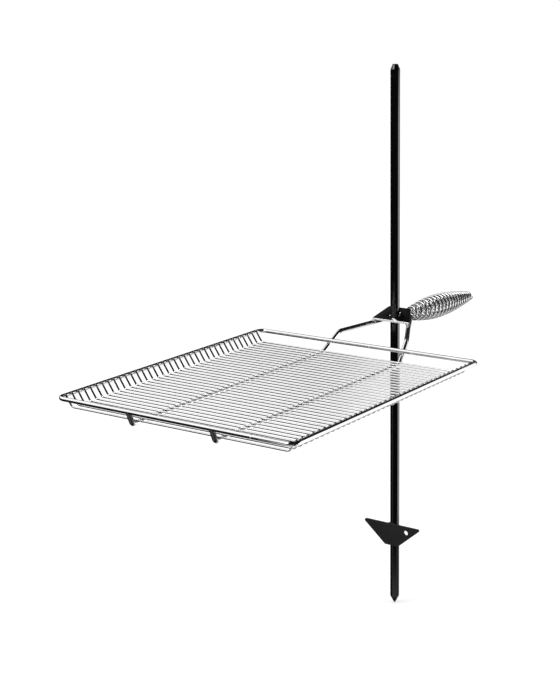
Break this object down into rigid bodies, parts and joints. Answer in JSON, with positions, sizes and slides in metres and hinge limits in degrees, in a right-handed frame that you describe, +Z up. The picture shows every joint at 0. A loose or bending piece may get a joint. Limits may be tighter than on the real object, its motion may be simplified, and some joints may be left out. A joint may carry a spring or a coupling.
{
  "type": "campfire stake grill",
  "caption": "Wire cooking grate on two bent rods with a spring-wound handle; it slides and turns on a pointed ground stake with an anchor fin.",
  "frame": {"origin": "on the stake's axis at ground level", "axes": "+X along the grid wires, +Y from the grate towards the handle, +Z up along the stake"},
  "size_m": [0.3242, 0.6555, 0.712],
  "materials": {
    "stake_coat": "satin black coating on steel bar",
    "fin_coat": "satin black coating on steel sheet",
    "rod_plate": "bright plated steel rod",
    "wire_plate": "bright plated steel wire",
    "spring_plate": "bright plated spring wire",
    "bracket_coat": "black coating, worn bright at the edges"
  },
  "bodies": {
    "anchor": {"fin": "fin_coat"},
    "stake": {"stake": "stake_coat"},
    "grill": {"rim": "rod_plate", "left_arm": "rod_plate", "right_arm": "rod_plate", "bracket_plate": "bracket_coat", "spring_handle": "spring_plate", "grid_wire_01": "wire_plate", "grid_wire_02": "wire_plate", "grid_wire_03": "wire_plate", "grid_wire_04": "wire_plate", "grid_wire_05": "wire_plate", "grid_wire_06": "wire_plate", "grid_wire_07": "wire_plate", "grid_wire_08": "wire_plate", "grid_wire_09": "wire_plate", "grid_wire_10": "wire_plate", "grid_wire_11": "wire_plate", "grid_wire_12": "wire_plate", "grid_wire_13": "wire_plate", "grid_wire_14": "wire_plate", "grid_wire_15": "wire_plate", "grid_wire_16": "wire_plate", "grid_wire_17": "wire_plate", "grid_wire_18": "wire_plate", "grid_wire_19": "wire_plate", "grid_wire_20": "wire_plate", "grid_wire_21": "wire_plate", "grid_wire_22": "wire_plate", "grid_wire_23": "wire_plate", "grid_wire_24": "wire_plate", "grid_wire_25": "wire_plate", "grid_wire_26": "wire_plate", "grid_wire_27": "wire_plate", "grid_wire_28": "wire_plate", "grid_wire_29": "wire_plate", "grid_wire_30": "wire_plate", "grid_wire_31": "wire_plate", "grid_wire_32": "wire_plate", "grid_wire_33": "wire_plate", "grid_wire_34": "wire_plate", "grid_wire_35": "wire_plate", "grid_wire_36": "wire_plate", "grid_wire_37": "wire_plate"}
  },
  "joints": [
    {"name": "swing", "type": "hinge", "parent": "anchor", "child": "stake", "pos_m": [0, 0, 0], "axis": [0, 0, 1], "continuous": true},
    {"name": "height", "type": "slide", "parent": "stake", "child": "grill", "axis": [0, 0, 1], "range_m": [-0.22, 0.3]}
  ]
}
